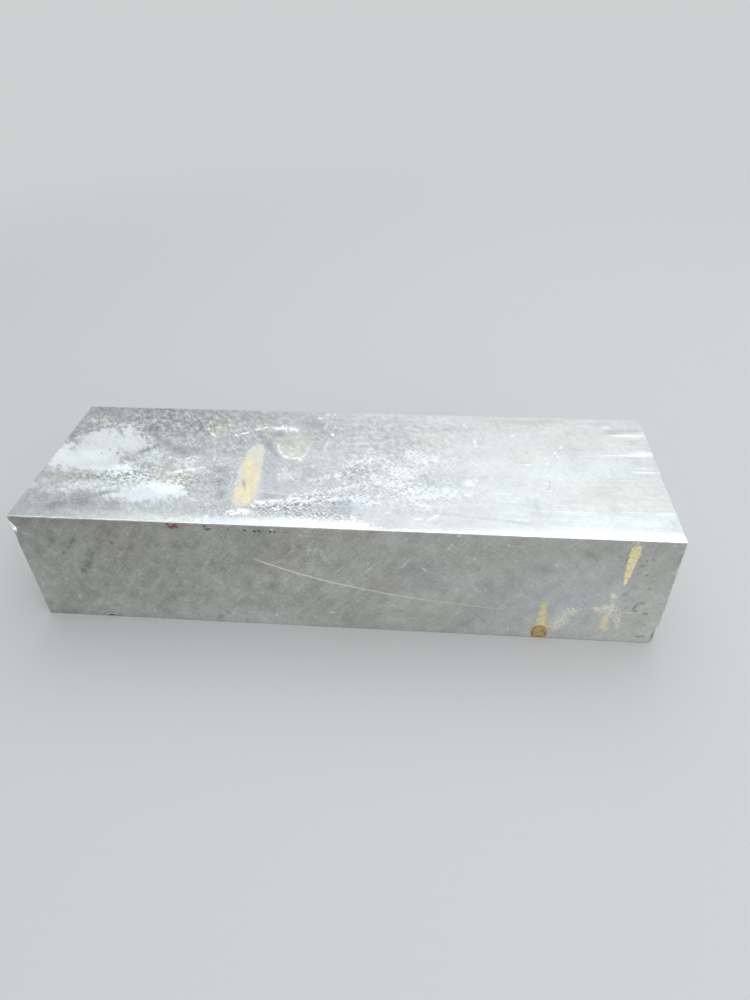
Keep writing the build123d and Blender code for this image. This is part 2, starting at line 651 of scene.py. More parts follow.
def coat(tree, paint, masks, levels=0, colour=None, level=None):
    # one more coat on the tone and tint so far, where all its masks show. It lifts the tone by some levels or
    # turns it to a level of its own, and may bring a colour. A mask with two numbers is a step between them.
    tone, tint = paint
    share = 1
    for mask in masks:
        if isinstance(mask, tuple):
            mask = step(tree, *mask)
        share = addNode(tree, "ShaderNodeMath", {"operation": "MULTIPLY"}, {0: mask, 1: share}).outputs[0]
    if level is not None:
        tone = addNode(tree, "ShaderNodeMix", {"clamp_factor": True},
                       {0: share, 2: tone, 3: level}).outputs[0]
    if levels:
        tone = addNode(tree, "ShaderNodeMath", {"operation": "MULTIPLY_ADD"},
                       {0: share, 1: levels, 2: tone}).outputs[0]
    if colour:
        tint = addNode(tree, "ShaderNodeMix", {"data_type": "RGBA", "clamp_factor": True},
                       {0: share, 6: tint, 7: linear(colour)}).outputs[2]
    return tone, tint


def coats(tree, paint, rows):
    # coats laid one after the other, each with its masks, levels, colour and level
    for row in rows:
        paint = coat(tree, paint, *row)
    return paint


def flecks(tree, paint, zone, grain, up, down, levels):
    # pale flecks where a grain is high, and dark ones where it is low
    return coats(tree, paint, (((zone, (grain, *up)), levels), ((zone, (grain, *down)), -levels)))


def tinted(tree, ruler, tone, finishSet):
    # the metal's own tint, and the faint colours that lie over it by place
    rows = (((smudges(tree, ruler, ovals),), 0, colour) for colour, ovals in finishSet["tints"])
    return coats(tree, (tone, linear(finishSet["tint"])), rows)


def newFinish(name):
    finish = bpy.data.materials.new(name)
    finish.use_nodes = True
    return finish, finish.node_tree


def setMetal(tree, paint, roughness, metallic, height, depth):
    # a metal shows its colour in its reflections, and its relief is only hundredths of a millimetre deep
    tone, tint = paint
    part = addNode(tree, "ShaderNodeMath", {"operation": "DIVIDE", "use_clamp": True}, {0: tone, 1: 255})
    power = addNode(tree, "ShaderNodeMath", {"operation": "POWER"}, {0: part.outputs[0], 1: 2.2})
    hue = tint if isinstance(tint, bpy.types.NodeSocket) else tint[:3]
    colour = addNode(tree, "ShaderNodeVectorMath", {"operation": "SCALE"},
                     {0: hue, "Scale": power.outputs[0]})
    bump = addNode(tree, "ShaderNodeBump", links={"Strength": 1, "Distance": depth * mm, "Height": height})
    fill(tree, tree.nodes["Principled BSDF"], {"Base Color": colour.outputs[0], "Roughness": roughness,
                                               "Metallic": metallic, "Normal": bump.outputs[0]})


# The stained top: mill finish aluminium that has lain damp. The bare metal is a cool grey with wide, milky
# reflections; the oxide shows as pale chalky patches, dark tarnish between them, and rings where drops dried.
# In these tables an oval is its place across and down, half length, half width, a turn if it has one, and in
# the soft ones how strong it is. A line is its start, its end, its width and how strong it is.
topSet = {
    "tone": 199,
    "tint": "#F8FFFF",
    "roughness": 0.45,
    "relief": 0.012,
    "fleckLevels": 26,
    # noises: length and width of their patches in millimetres, turn, detail, seed, and roughness if not 0.6
    "grains": {
        "fine": (1.2, 0.9, 50, 5, 3, 0.75), "flake": (1.25, 0.85, 30, 5, 12, 0.7),
        "grit": (0.5, 0.5, 0, 2, 4), "mottle": (3.2, 2.2, 50, 5, 5, 0.65), "slow": (20, 12, 0, 2, 6),
        "leaning": (6, 0.75, 60, 3, 7),
        "rising": (2.6, 0.6, 48, 2, 21), "falling": (2.6, 0.6, -38, 2, 23), "dots": (2, 1.4, 25, 1, 25, 0.4),
        "crossing": (5, 0.6, -52, 2, 8), "drawn": (24, 0.5, 0, 4, 9),
    },
    # slow changes of tone: partly tarnish, and partly painted shade that darkens the left and back and
    # painted light that brightens the right
    "broad": (
        (34, 4, 64, 18, -20), (112, 14, 34, 20, -10), (60, 24, 40, 12, 20, -8), (16, 66, 34, 7, -9),
        (150, 18, 50, 18, -4), (122, 67, 20, 9, -1), (122, 38, 30, 18, 2), (205, 36, 60, 40, 10),
        (236, 10, 30, 16, 8), (60, 75, 70, 6, 24), (45, 60, 30, 14, 15), (70, 40, 30, 18, 8),
        (225, 68, 40, 14, 14), (17, 51, 18, 6, 27), (36, 50, 14, 8, 41), (20, 58, 16, 5, -8, 28),
        (40, 37, 10, 7, 22), (50, 75, 26, 5, 16), (102, 45, 12, 14, -7), (74.5, 50, 5, 16, -7),
        (101, 10, 12, 8, 14), (154, 44, 12, 7, 4), (89.6, 45, 3.4, 15, -8, -9), (112, 68, 16, 5, 8),
        (8, 11, 9, 6, 9), (62, 13, 9, 9, 12), (96, 26, 9, 10, 8), (131, 34, 10, 6, -10), (154, 55, 12, 5, -8),
        (118, 46, 30, 16, -5), (110, 61, 14, 5, -6), (22, 44, 10, 5, -4),
    ),
    # how strong the leaning strokes, the drawn lines and the grain are, by place
    "strokeZone": (
        (35, 10, 64, 32, 52), (72, 20, 64, 36, 30, 66), (60, 66, 74, 16, 44), (205, 30, 60, 60, 14),
    ),
    "drawnZone": (
        (205, 66, 70, 16, 40), (232, 30, 26, 46, 34), (60, 74, 90, 7, 40), (190, 6, 50, 8, 30),
    ),
    "mottleZone": (
        (36, 12, 70, 32, 96), (130, 16, 50, 26, 44), (60, 66, 70, 14, 20),
    ),
    "grainZone": (
        (45, 38, 110, 64, 30), (34, 6, 60, 22, 30), (70, 48, 16, 26, 20), (20, 66, 40, 12, 14),
        (128, 14, 54, 28, 18), (30, 52, 34, 10, 20),
    ),
    # smooth chalky oxide, and its whitest places
    "pale": (
        (17, 29, 11.5, 10.5), (12, 39, 11.4, 8.4), (28, 28, 7.6, 7, 35), (21, 41, 8, 6.4),
        (24.5, 44, 4.6, 3, 10), (31, 45.2, 4.6, 3.2), (3.4, 38, 3.6, 9), (13, 20.6, 6, 2.4, -15),
        (25, 20, 5, 2.2, 20),
    ),
    "palest": (
        (7, 42, 6.5, 4.4), (31, 45.2, 5, 2.8), (2.6, 37, 2.2, 6.5), (20, 45.6, 7, 1.8), (17, 37, 6, 3.4),
    ),
    # thinner oxide, milky patches and ragged bluish ones
    "dim": (
        (8, 12, 4, 1.5), (15, 14, 6, 1.5, 20), (25, 15.5, 4.5, 1.2, 20), (31, 11, 2, 2.2),
        (35, 6, 0.9, 2.3, 10), (18, 57, 11, 3, -8), (5, 57, 5, 3.4), (30, 58, 4.5, 1.5, -20),
        (9, 61.5, 2.8, 0.5), (62, 45.5, 3.8, 1.5), (54, 41.5, 3.6, 2.3), (128, 34, 6.5, 3.3, -10),
        (120, 38, 4, 1.6, -40), (133, 31, 3, 1.6), (139, 42, 6, 2.4, 30), (131, 46, 6, 2, 40),
        (138, 50.5, 8, 3, 20), (146, 57, 5.3, 1.8, -10), (148, 61, 3, 1.2, 30), (72, 28, 1.8, 1.4),
        (97, 45, 4, 2.9), (104, 40, 1.8, 1), (148, 33, 6, 3, 30), (166, 47, 2.6, 1.5, -30),
        (90, 13.6, 4.6, 1.7), (39.5, 36.8, 6.2, 3.6, -25), (36, 40, 4.6, 2.6, -20), (43, 41, 3, 1.6, 30),
    ),
    "milky": (
        (45.5, 60.6, 12.4, 4.6, -4), (53, 57.5, 7, 5), (44, 56, 6, 2.6, -25), (57, 60, 4.4, 3.4),
        (36, 62, 5, 2),
    ),
    "blue": (
        (53, 47, 5, 1.4, -20), (154, 54.5, 7.6, 2.6), (147, 54, 6, 1.4), (119, 59.5, 6.5, 1.5),
        (124, 58, 6, 1.2, -5), (128, 61, 3.6, 0.9), (108, 60.5, 9.8, 1.5, -10), (118, 53.5, 5, 1, -30),
        (124, 51, 4, 1, -20), (97, 63, 8.7, 2), (112, 47, 5.3, 1.2, -20), (106, 57, 4.4, 1.1, -20),
        (84, 69.3, 5, 1.5), (92, 61.5, 3.6, 0.9, -20), (74, 74.5, 5, 1.6),
    ),
    "white": (
        (53.5, 57, 5, 3.2), (48, 55.4, 3.4, 1.2, -20), (84, 69, 3, 0.9), (31, 45.6, 4, 1.6),
    ),
    # tarnish
    "dark": (
        (17, 51.4, 15.3, 2.6, 2), (33, 51, 5, 3.2), (33, 16.5, 3.2, 2.4), (2.5, 22, 1.8, 3.6),
        (7, 20, 2.7, 1.3, -40), (49, 31, 3.3, 2.4), (52.5, 34, 3, 2, 30), (57, 30.5, 3.6, 1.1),
        (43, 27, 4.4, 1.4, 40), (47, 21, 2.3, 1.1), (38, 24, 3, 1, 50), (24, 65, 4.4, 3, 40),
        (15, 69, 3.3, 2, -40), (36, 67, 4, 2.2, 40), (30, 61.5, 3, 1.5, -30), (101, 10, 6, 3.2, 10),
        (88, 18, 2.7, 2.1), (70, 44, 3, 2.2), (71, 52, 2.2, 2.6), (74, 60, 1.8, 2.6), (93, 59.5, 3, 1.5),
        (96, 66.3, 10, 2), (110, 68, 13.1, 2.4), (119, 66, 4.4, 3.7), (103, 64.5, 7.1, 1.2),
    ),
    # darker places of the brighter right half, soft-edged
    "shades": (
        (207, 12, 4, 2, 10), (206, 24, 4, 8, 10), (213, 23, 9, 2.4, 8), (224, 10, 5, 3.4, -30, 22),
        (231, 8, 9, 2, 18), (219, 4, 8, 2.4, 12), (230, 17, 3, 3, 14), (229, 31, 3, 4.4, 10),
        (190, 4, 22, 3.4, 12), (199, 3, 10, 2, 8), (212, 51, 11, 5, -15, 9), (188, 61, 7, 7, 20, 8),
        (189, 60, 1.6, 5, -10, 10), (215, 58, 3, 7, 8), (170, 45, 2.4, 4.4, 20, 7), (174, 42, 7, 1.6, -25, 8),
        (181, 25, 5, 1.6, 40, 7), (160, 11, 16, 2.6, 8), (207, 38, 10, 4, 5), (180, 68.6, 14, 1, 8),
        (160, 71, 16, 2, 6), (234, 68, 3, 7, 8), (192, 66, 4, 4, 6), (121, 41, 7.7, 3.5, 20, 9),
        (126, 43, 8.8, 3.5, -20, 9), (121, 12, 4.8, 4, 9), (135, 5, 2.6, 3.5, 9), (133, 17.5, 2.9, 2.9, 9),
        (136, 29, 5.3, 6.2, 9), (130, 27, 8.4, 2.2, 20, 9), (143, 22, 5.9, 5.1, 9), (148, 45, 7.9, 3.1, 9),
        (152, 36, 3.1, 4.8, -40, 9), (162, 35, 2.2, 3.1, 30, 9), (162.5, 43, 3.1, 3.7, 9),
        (155, 43, 10.1, 4.4, -10, 9), (159.6, 47, 4, 6.6, 9), (149, 45.4, 6.6, 2.6, 9),
        (152, 48.6, 6.6, 2.2, 9), (143, 66, 11.4, 4.4, 9), (138, 71, 7.5, 2.4, 9),
    ),
    # where the oxide has crackled into flecks
    "fleckZone": (
        (36, 50, 15, 9, 2), (57, 51, 9, 6, 1.4), (60, 57, 5, 5, 0.96), (95, 65, 18, 6, 1.6),
        (112, 62, 20, 9, 0.96), (125, 58, 18, 8, 0.72), (135, 42, 34, 22, 0.8), (112, 69, 18, 4.4, 1.44),
        (152, 54, 14, 7, 0.72), (143, 63, 14, 5, 0.56), (118, 46, 12, 8, 0.64), (30, 12, 26, 8, 0.64),
        (40, 37, 12, 9, 0.56), (105, 5, 8, 6, 0.4), (69, 50, 14, 22, 1.1), (24, 26, 10, 8, 0.24),
        (18, 52, 18, 5, 1.2), (140, 18, 30, 14, 0.32), (60, 30, 24, 12, 0.48), (75, 68, 12, 4, 0.96),
        (20, 66, 24, 6, 0.72), (105, 50, 16, 10, 0.56),
    ),
    "dotZone": (
        (36, 50, 15, 9, 1.7), (57, 52, 9, 7, 1), (18, 51, 16, 5, 0.7), (97, 66, 16, 6, 0.5),
        (112, 60, 20, 5, 0.5), (128, 35, 14, 10, 0.4), (148, 50, 16, 10, 0.3), (40, 14, 40, 12, 0.4),
    ),
    "hatchZone": (
        (36, 50, 13, 8, 1.9), (18, 51.5, 18, 4.6, 0.9), (57, 53, 8, 6, 0.9), (44, 44, 9, 5, 0.7),
        (96, 66, 16, 6, 1.5), (112, 69.4, 17, 4.2, 1.5), (112, 61, 20, 7, 0.8), (132, 48, 38, 22, 0.75),
        (140, 28, 30, 16, 0.45), (26, 16, 22, 6, 0.8), (39, 37, 10, 6, 0.6), (70, 46, 10, 10, 0.5),
        (20, 58, 20, 5, 0.5), (82, 69.5, 9, 3, 1.2), (104, 8, 10, 8, 0.4), (20, 66, 26, 6, 0.5),
        (158, 52, 12, 12, 0.4), (120, 44, 8, 5, 0.7), (150, 64, 20, 8, 0.4),
    ),
    # scratches: start, end, width and how strong
    "darkLines": (
        (30, 38.5, 41, 28.5, 1.3, 1), (77, 13, 92, 37, 1.9, 0.9), (82, 15, 89, 25, 1.1, 0.6),
        (57, 0, 66, 15, 1.2, 0.8), (60.5, 0, 69, 13, 1, 0.6), (68, 0, 75, 14, 1.3, 0.8),
        (74, 0, 80, 11, 1.1, 0.7), (50, 6, 56, 18, 1, 0.6), (64, 10, 68, 17, 0.8, 0.5),
        (80, 2, 84, 9, 0.8, 0.5), (41, 30, 47, 37, 0.9, 0.8), (92, 22, 98, 30, 0.8, 0.4),
        (24, 17, 36, 33, 0.7, 0.4), (43, 10, 50, 22, 0.9, 0.5), (89, 3, 93, 9, 0.8, 0.5),
        (24, 56.5, 31, 61.5, 0.8, 0.6), (71, 64, 76, 68, 0.8, 0.5),
    ),
    # finer ones, in levels up or down; the three bright lines at 75.9 down, along the front edge, are a
    # painted highlight
    "rightLines": (
        (203, 20, 198, 30, 0.7, -8.4), (197.6, 30, 194.4, 41, 0.6, -7.2), (194.4, 41, 194.8, 47, 0.6, -7.2),
        (195, 46, 193, 52, 0.7, -7.2), (176.6, 3, 178, 11, 0.8, -12), (182, 33.4, 190, 33.2, 0.7, -5),
        (206, 28.4, 217, 27.4, 0.9, 6), (215, 27.2, 238, 26.2, 1.5, 12), (224, 25.4, 238, 24.8, 2.4, 22),
        (220, 12.6, 238, 12.2, 2, 18), (219, 6.6, 224, 6.8, 1.4, 14), (223, 34.2, 238, 34.8, 0.8, 16),
        (226, 37.2, 238, 37.6, 0.9, 16), (186, 34.6, 190, 34.4, 0.9, 14), (192, 62.6, 210, 62.2, 0.8, 7),
        (226, 62.4, 238, 61.4, 1, 12), (172, 53.4, 181, 52.8, 0.9, 8), (182, 15.4, 184.4, 14.4, 1.2, 12),
        (167.8, 18, 168.3, 23, 0.9, 16), (200.8, 23.4, 202.6, 20.4, 0.8, 24),
        (198.8, 25.4, 199.8, 27.4, 0.9, 22), (199.4, 28, 200, 28.6, 0.7, 18), (164, 5.4, 164, 8.6, 1, 12),
        (194, 41.6, 195.6, 41.4, 1.2, 12), (193, 50.6, 195, 51, 1.2, 8), (219, 51.4, 220, 50, 1.1, 8),
        (183, 50, 190, 46, 0.8, 4), (189.4, 28, 197, 31, 0.7, 4), (150, 70, 155, 66, 0.7, 18),
        (145, 69.6, 149, 69, 0.8, 12), (137.5, 65.6, 134.6, 67.6, 0.7, 10), (112, 9.6, 118, 9.2, 0.5, 8),
        (116, 19.4, 123, 19, 0.6, 8), (140, 8, 140.2, 14, 0.6, 6), (163, 67, 178, 68.4, 0.8, -7),
        (176, 69, 188, 70, 0.8, -8), (150, 65.4, 166, 67.4, 0.9, -6), (2, 75.9, 34, 75.9, 0.5, 22),
        (26, 75.9, 62, 75.9, 0.5, 22), (52, 75.9, 88, 75.9, 0.5, 20), (86, 57, 104, 58.6, 0.6, 8),
        (118, 24, 133, 22.4, 0.5, 9), (122, 30, 136, 33, 0.5, -9), (142, 25, 152, 21, 0.5, 8),
        (116, 36, 128, 40, 0.5, -8), (168, 57, 186, 58, 0.5, 6), (160, 24, 175, 23, 0.5, 6),
        (205, 47, 222, 45.6, 0.5, 6), (176, 61, 196, 63, 0.5, 7), (210, 66, 232, 66.8, 0.6, 9),
        (128, 70.6, 140, 69.4, 0.6, 9), (163, 30, 172, 40, 0.5, 5), (143, 38, 160, 27, 0.5, 7),
    ),
    "whiteLines": (
        (69.2, 20.8, 71.4, 19.6, 0.81, 2.23), (71.6, 19.2, 75.2, 17.2, 0.98, 2.85),
        (76.8, 15.8, 79.6, 14.6, 0.81, 2.54), (80.4, 13.9, 82.4, 13, 0.86, 2.54),
        (85.5, 14.6, 90.5, 13.6, 1.3, 1.1), (88, 12, 89, 14.6, 0.58, 1.27), (91, 13.6, 95.4, 15, 1.5, 1.7),
        (103, 4.2, 103.6, 6, 1.2, 1.3), (104, 2.2, 107.6, 1.6, 1, 0.63), (106.8, 8, 106.2, 14, 0.8, 0.95),
        (110, 16.2, 109.9, 18.8, 1, 1.4), (110.2, 9, 110, 15, 0.7, 0.52), (109, 20, 108, 30, 0.9, 0.52),
        (109, 0, 109, 3, 0.8, 0.85), (62, 62, 67, 64, 0.8, 0.74), (123, 68.6, 125.4, 71.4, 0.9, 0.85),
        (17, 54.6, 17.8, 57, 1, 0.74), (13, 59, 14.4, 59.6, 1.2, 0.74), (69, 64.4, 72, 66, 0.9, 0.52),
        (62.4, 26, 64, 26.2, 1, 0.52), (42, 43.6, 46, 45, 1, 0.63), (56, 45.2, 63, 43, 1.1, 0.85),
        (49.6, 48.2, 57, 45, 1.2, 0.85), (86, 12.4, 87.2, 15, 0.69, 1.48), (89.6, 13, 90.4, 15.2, 0.58, 1.06),
        (94, 15.2, 96.2, 16.4, 0.69, 1.06), (84.4, 13.6, 86, 13.2, 0.63, 0.85), (77.6, 69.6, 82, 68, 1, 1.29),
        (82, 68, 87, 68.2, 1.2, 1.47), (80, 70.6, 84, 70, 0.9, 1.1), (88, 62, 92, 65, 1.2, 1.47),
        (86.6, 64, 88.6, 66.6, 1.2, 1.29), (92, 62.6, 97, 61.4, 1.2, 1.1), (94, 65.8, 98, 67, 1, 0.92),
        (99, 61, 104, 59.6, 1.1, 0.92), (104, 62, 108, 61.6, 1.1, 0.92), (113, 61, 117, 59.8, 1.2, 0.92),
    ),
    # the strip along the front, worn bright and carrying a painted reflection of the rounded edge, and
    # painted sheen where it fades out
    "wornStripAndSheen": (
        (104, 76.8, 22, 5.4), (86, 76.8, 15, 4.6), (121, 77, 12, 5.5), (150, 77.4, 26, 2.2),
        (178, 77.6, 18, 2.6), (204, 77.8, 28, 3.4), (230, 77.8, 22, 3.2),
    ),
    "paintedSheen": (
        (204, 78, 46, 8, 44), (230, 78, 22, 8, 36), (170, 78, 20, 5, 20),
    ),
    # the long stain, where it is deep yellow and golden, and its crack
    "stain": (
        (81.2, 33, 3.6, 7), (81.5, 39, 3.9, 8, -2), (82.2, 47, 4.2, 10, -3), (83, 57, 4.4, 8, -2),
        (83, 61.6, 3.8, 4.6),
    ),
    "stainDeep": (
        (81.8, 43, 3.6, 6.4, -3), (82.3, 50, 3.8, 7, -3), (82.8, 58.6, 4.1, 6),
    ),
    "stainGold": (
        (80.8, 59, 2.2, 3.2, 20), (84.6, 61, 2.4, 2.2), (80.4, 39.5, 1.8, 3), (85, 50, 1.1, 4, -4),
        (82.6, 56.4, 3, 3.2), (81.5, 45, 1.4, 2.4, 10),
    ),
    "stainCrack": (
        (80, 49.4, 82.6, 56.8, 0.8, 1),
    ),
    "stainEdge": (
        (77.7, 36, 77.9, 57, 0.9, 0.8),
    ),
    # outlines that drops left as they dried, and the film inside them
    "creamLines": (
        (56.2, 9, 56.8, 14, 0.72, 0.8), (56.8, 14, 58.4, 18, 0.88, 1.3), (58.4, 18, 62.2, 22.2, 0.96, 1.5),
        (62.2, 22.2, 66, 20.6, 0.72, 0.5), (64.4, 9.6, 66.4, 14, 0.72, 0.9), (66.4, 14, 67.8, 18, 0.72, 0.9),
        (57.6, 10, 60, 8.4, 0.64, 0.5), (89, 24.6, 89.8, 29, 0.88, 1.4), (89.8, 29, 92, 33, 0.96, 1.3),
        (92, 33, 95.4, 35.4, 0.96, 1.4), (95.4, 35.4, 99.4, 34.8, 0.96, 1.5), (99, 36.4, 100, 35, 1.04, 1.5),
        (100, 35, 101.6, 31, 0.72, 0.9), (101.6, 31, 101.2, 25, 0.64, 0.5), (92.6, 20.6, 97, 18.6, 0.64, 0.4),
        (97, 25, 100, 24, 0.72, 0.3), (93, 27, 96, 29.4, 0.72, 0.3), (46.8, 37, 49.4, 37.4, 1.2, 1.4),
        (49.4, 37.6, 53.2, 38.4, 0.8, 1.2), (53.2, 38.4, 56.4, 36.2, 0.88, 1.3),
        (56.4, 36.2, 60.8, 36.8, 0.96, 1.2), (57.4, 37.4, 58.4, 39.6, 0.72, 1), (59.6, 38, 60, 41, 0.72, 0.6),
        (46.6, 38, 46.4, 42.6, 0.8, 0.6), (46.4, 42.6, 47.2, 50, 0.88, 0.8), (59.6, 47, 60.6, 52, 0.8, 0.7),
        (57, 48.6, 60, 47.4, 0.72, 0.5), (59.6, 43.6, 64, 43.2, 0.72, 0.8),
    ),
    "brownLines": (
        (45.4, 40, 46.2, 48, 1, 0.8), (46.4, 48, 49, 53, 0.9, 0.7), (51, 51.6, 57, 52.4, 1.2, 0.9),
        (57, 52.4, 60, 50.4, 0.9, 0.7),
    ),
    "films": (
        (55, 47, 9, 8, 0.3),
    ),
    "filmShade": (
        (62.6, 13, 8, 9, -10, -4), (96.4, 25.5, 8, 10, -5, 8), (54, 42, 8, 6, 8),
    ),
    "tints": (
        ("#FBFCFF", (
            (122, 44, 54, 44, 0.85), (128, 16, 40, 20, 0.5), (104, 10, 14, 10, 0.6), (80, 40, 20, 30, 0.4),
        )),
        ("#FFFBF0", (
            (60, 13, 9, 8, 0.6), (80, 12, 7, 6, 30, 0.5), (55, 52, 6, 2.5, 1), (94, 55, 8, 4, 0.5),
            (8, 11, 12, 5, 0.5), (149, 5, 9, 3, 0.8), (144, 40, 4, 2, 0.6), (230, 25.5, 12, 3, 0.5),
            (205, 77, 40, 4, 0.4),
        )),
        ("#FAFFF6", (
            (220, 55, 34, 14, 0.5), (185, 5, 28, 7, 0.9), (12, 52, 16, 4, 1), (14, 66, 26, 6, 0.2),
            (215, 14, 24, 9, 0.8), (190, 25, 36, 14, 0.3), (150, 22, 12, 12, 0.5),
        )),
        ("#EEF7FF", (
            (75, 28, 14, 16, 0.6), (89, 46, 4, 18, -8, 0.9), (74, 52, 5, 14, 0.6), (120, 64, 16, 8, 0.7),
            (101, 10, 12, 7, 0.9), (225, 67, 20, 9, 0.4), (140, 52, 34, 14, 0.6), (31, 45, 9, 4, 1.1),
            (45, 62, 14, 6, 1), (13, 47, 14, 3, 0.8), (85, 28, 6, 10, -30, 0.8), (154, 54.5, 10, 4, 1),
            (78, 73, 10, 4, 0.9), (118, 60, 14, 4, 0.8),
        )),
        ("#FDFFF0", (
            (96, 26, 9, 11, -5, 0.9), (62.6, 14, 8, 9, -10, 0.7), (55, 52, 6, 2.4, 0.9),
        )),
    ),
}


def paintTop():
    finish, tree = newFinish("stainedMillAluminium")
    ruler = sideRuler(tree, "top")
    near = wander(tree, ruler, 1.2, 2.2, 10)
    loose = wander(tree, wander(tree, ruler, 3.4, 9, 1), 2.2, 1.6, 2)
    fine, flake, grit, mottle, slow, leaning, rising, falling, dots, crossing, drawn = grainsOf(
        tree, ruler, topSet)
    edge = vary(tree, vary(tree, mottle, leaning, 0.7), flake, 0.6)

    # bare metal
    texture = vary(tree, vary(tree, fine, mottle, 1.3), grit, 0.6)
    # the broad tones are partly painted shade at the left and back and painted light at the right
    tone = varyAll(tree, smudges(tree, loose, topSet["broad"], topSet["tone"]), (
        (slow, 24), (crossing, 14), (mottle, smudges(tree, ruler, topSet["mottleZone"])),
        (drawn, smudges(tree, ruler, topSet["drawnZone"], 8)),
        (leaning, smudges(tree, ruler, topSet["strokeZone"])),
        (texture, smudges(tree, ruler, topSet["grainZone"], 19))))
    paint = tinted(tree, loose, tone, topSet)

    # oxide and tarnish
    pale = ragged(tree, loose, topSet["pale"], edge, 0.8, 0.19)
    milky = ragged(tree, loose, topSet["milky"], edge, 0.9, 0.16)
    paint = coats(tree, paint, (
        ((smudges(tree, loose, topSet["shades"]),), -1),
        ((ragged(tree, loose, topSet["dark"], edge, 1.5, 0.2),), -21),
        ((pale, 0.72), 0, None, 228),
        ((ragged(tree, loose, topSet["palest"], flake, 1.2, 0.4),), 12),
        ((ragged(tree, loose, topSet["dim"], edge, 1.5, 0.24),), 15),
        ((milky, 0.8), 0, None, 234),
        ((ragged(tree, loose, topSet["blue"], edge, 1.8, 0.2),), 18),
        ((ragged(tree, loose, topSet["white"], flake, 1, 0.3),), 16)))
    hatch = vary(tree, rising, falling, 1)
    for zone, grain, up, down in (("fleckZone", flake, (0.56, 0.61), (0.44, 0.4)),
                                  ("dotZone", dots, (0.55, 0.62), (0.45, 0.38)),
                                  ("hatchZone", hatch, (0.56, 0.64), (0.44, 0.36))):
        zone = smudges(tree, loose, topSet[zone])
        paint = flecks(tree, paint, zone, grain, up, down, topSet["fleckLevels"])

    # scratches, what drops left as they dried, the long stain, and the strip along the front, worn bright and
    # with painted sheen on it
    broken = wander(tree, ruler, 0.8, 3, 11)
    stain = ragged(tree, near, topSet["stain"], grit, 0.35, 0.1)
    deep = ragged(tree, near, topSet["stainDeep"], flake, 1.6, 0.35)
    gold = ragged(tree, near, topSet["stainGold"], flake, 1.6, 0.4)
    paint = coats(tree, paint, (
        ((pale, (flake, 0.6, 0.66)), -12),
        ((strokes(tree, near, topSet["darkLines"]),), -18),
        ((strokes(tree, near, topSet["whiteLines"]), flake), 64),
        # finer lines, among them a painted highlight along the front edge
        ((strokes(tree, broken, topSet["rightLines"]), vary(tree, 1.1, drawn, 5)), 1),
        ((smudges(tree, near, topSet["filmShade"]),), 1),
        ((smudges(tree, near, topSet["films"]),), 0, "#FFFEF4"),
        ((strokes(tree, near, topSet["creamLines"]), vary(tree, 0.8, flake, 2)), 28, "#FDFFF2"),
        ((strokes(tree, near, topSet["brownLines"]),), 0, "#FFFDF0"),
        ((stain, 0.7), 0, "#FFFEF4", 214),
        ((stain,), 0, "#FFFEF4"),
        ((stain, (fine, 0.4, 0.62)), 7),
        ((stain, deep), -2, "#FFF8DC"),
        ((stain, gold), 13, "#FFF3D0"),
        ((stain, strokes(tree, ruler, topSet["stainCrack"])), -34),
        ((strokes(tree, near, topSet["stainEdge"]),), 14),
        # the worn strip along the front with its painted reflection, then painted sheen that lifts it towards
        # the right
        ((ragged(tree, near, topSet["wornStripAndSheen"], flake, 0.9, 0.1),), 0, None, 236),
        ((smudges(tree, near, topSet["paintedSheen"]),), 1)))

    # oxide is chalk and not metal, a little rougher and a little proud
    chalk = either(tree, pale, milky)
    metallic = vary(tree, vary(tree, 1, chalk, -0.3, 0), stain, -0.5, 0)
    rough = vary(tree, vary(tree, topSet["roughness"], slow, 0.1), chalk, 0.1, 0)
    height = vary(tree, vary(tree, vary(tree, 0, leaning, 0.6), fine, 0.5), chalk, 0.6, 0)
    setMetal(tree, paint, rough, metallic, height, topSet["relief"])
    return finish


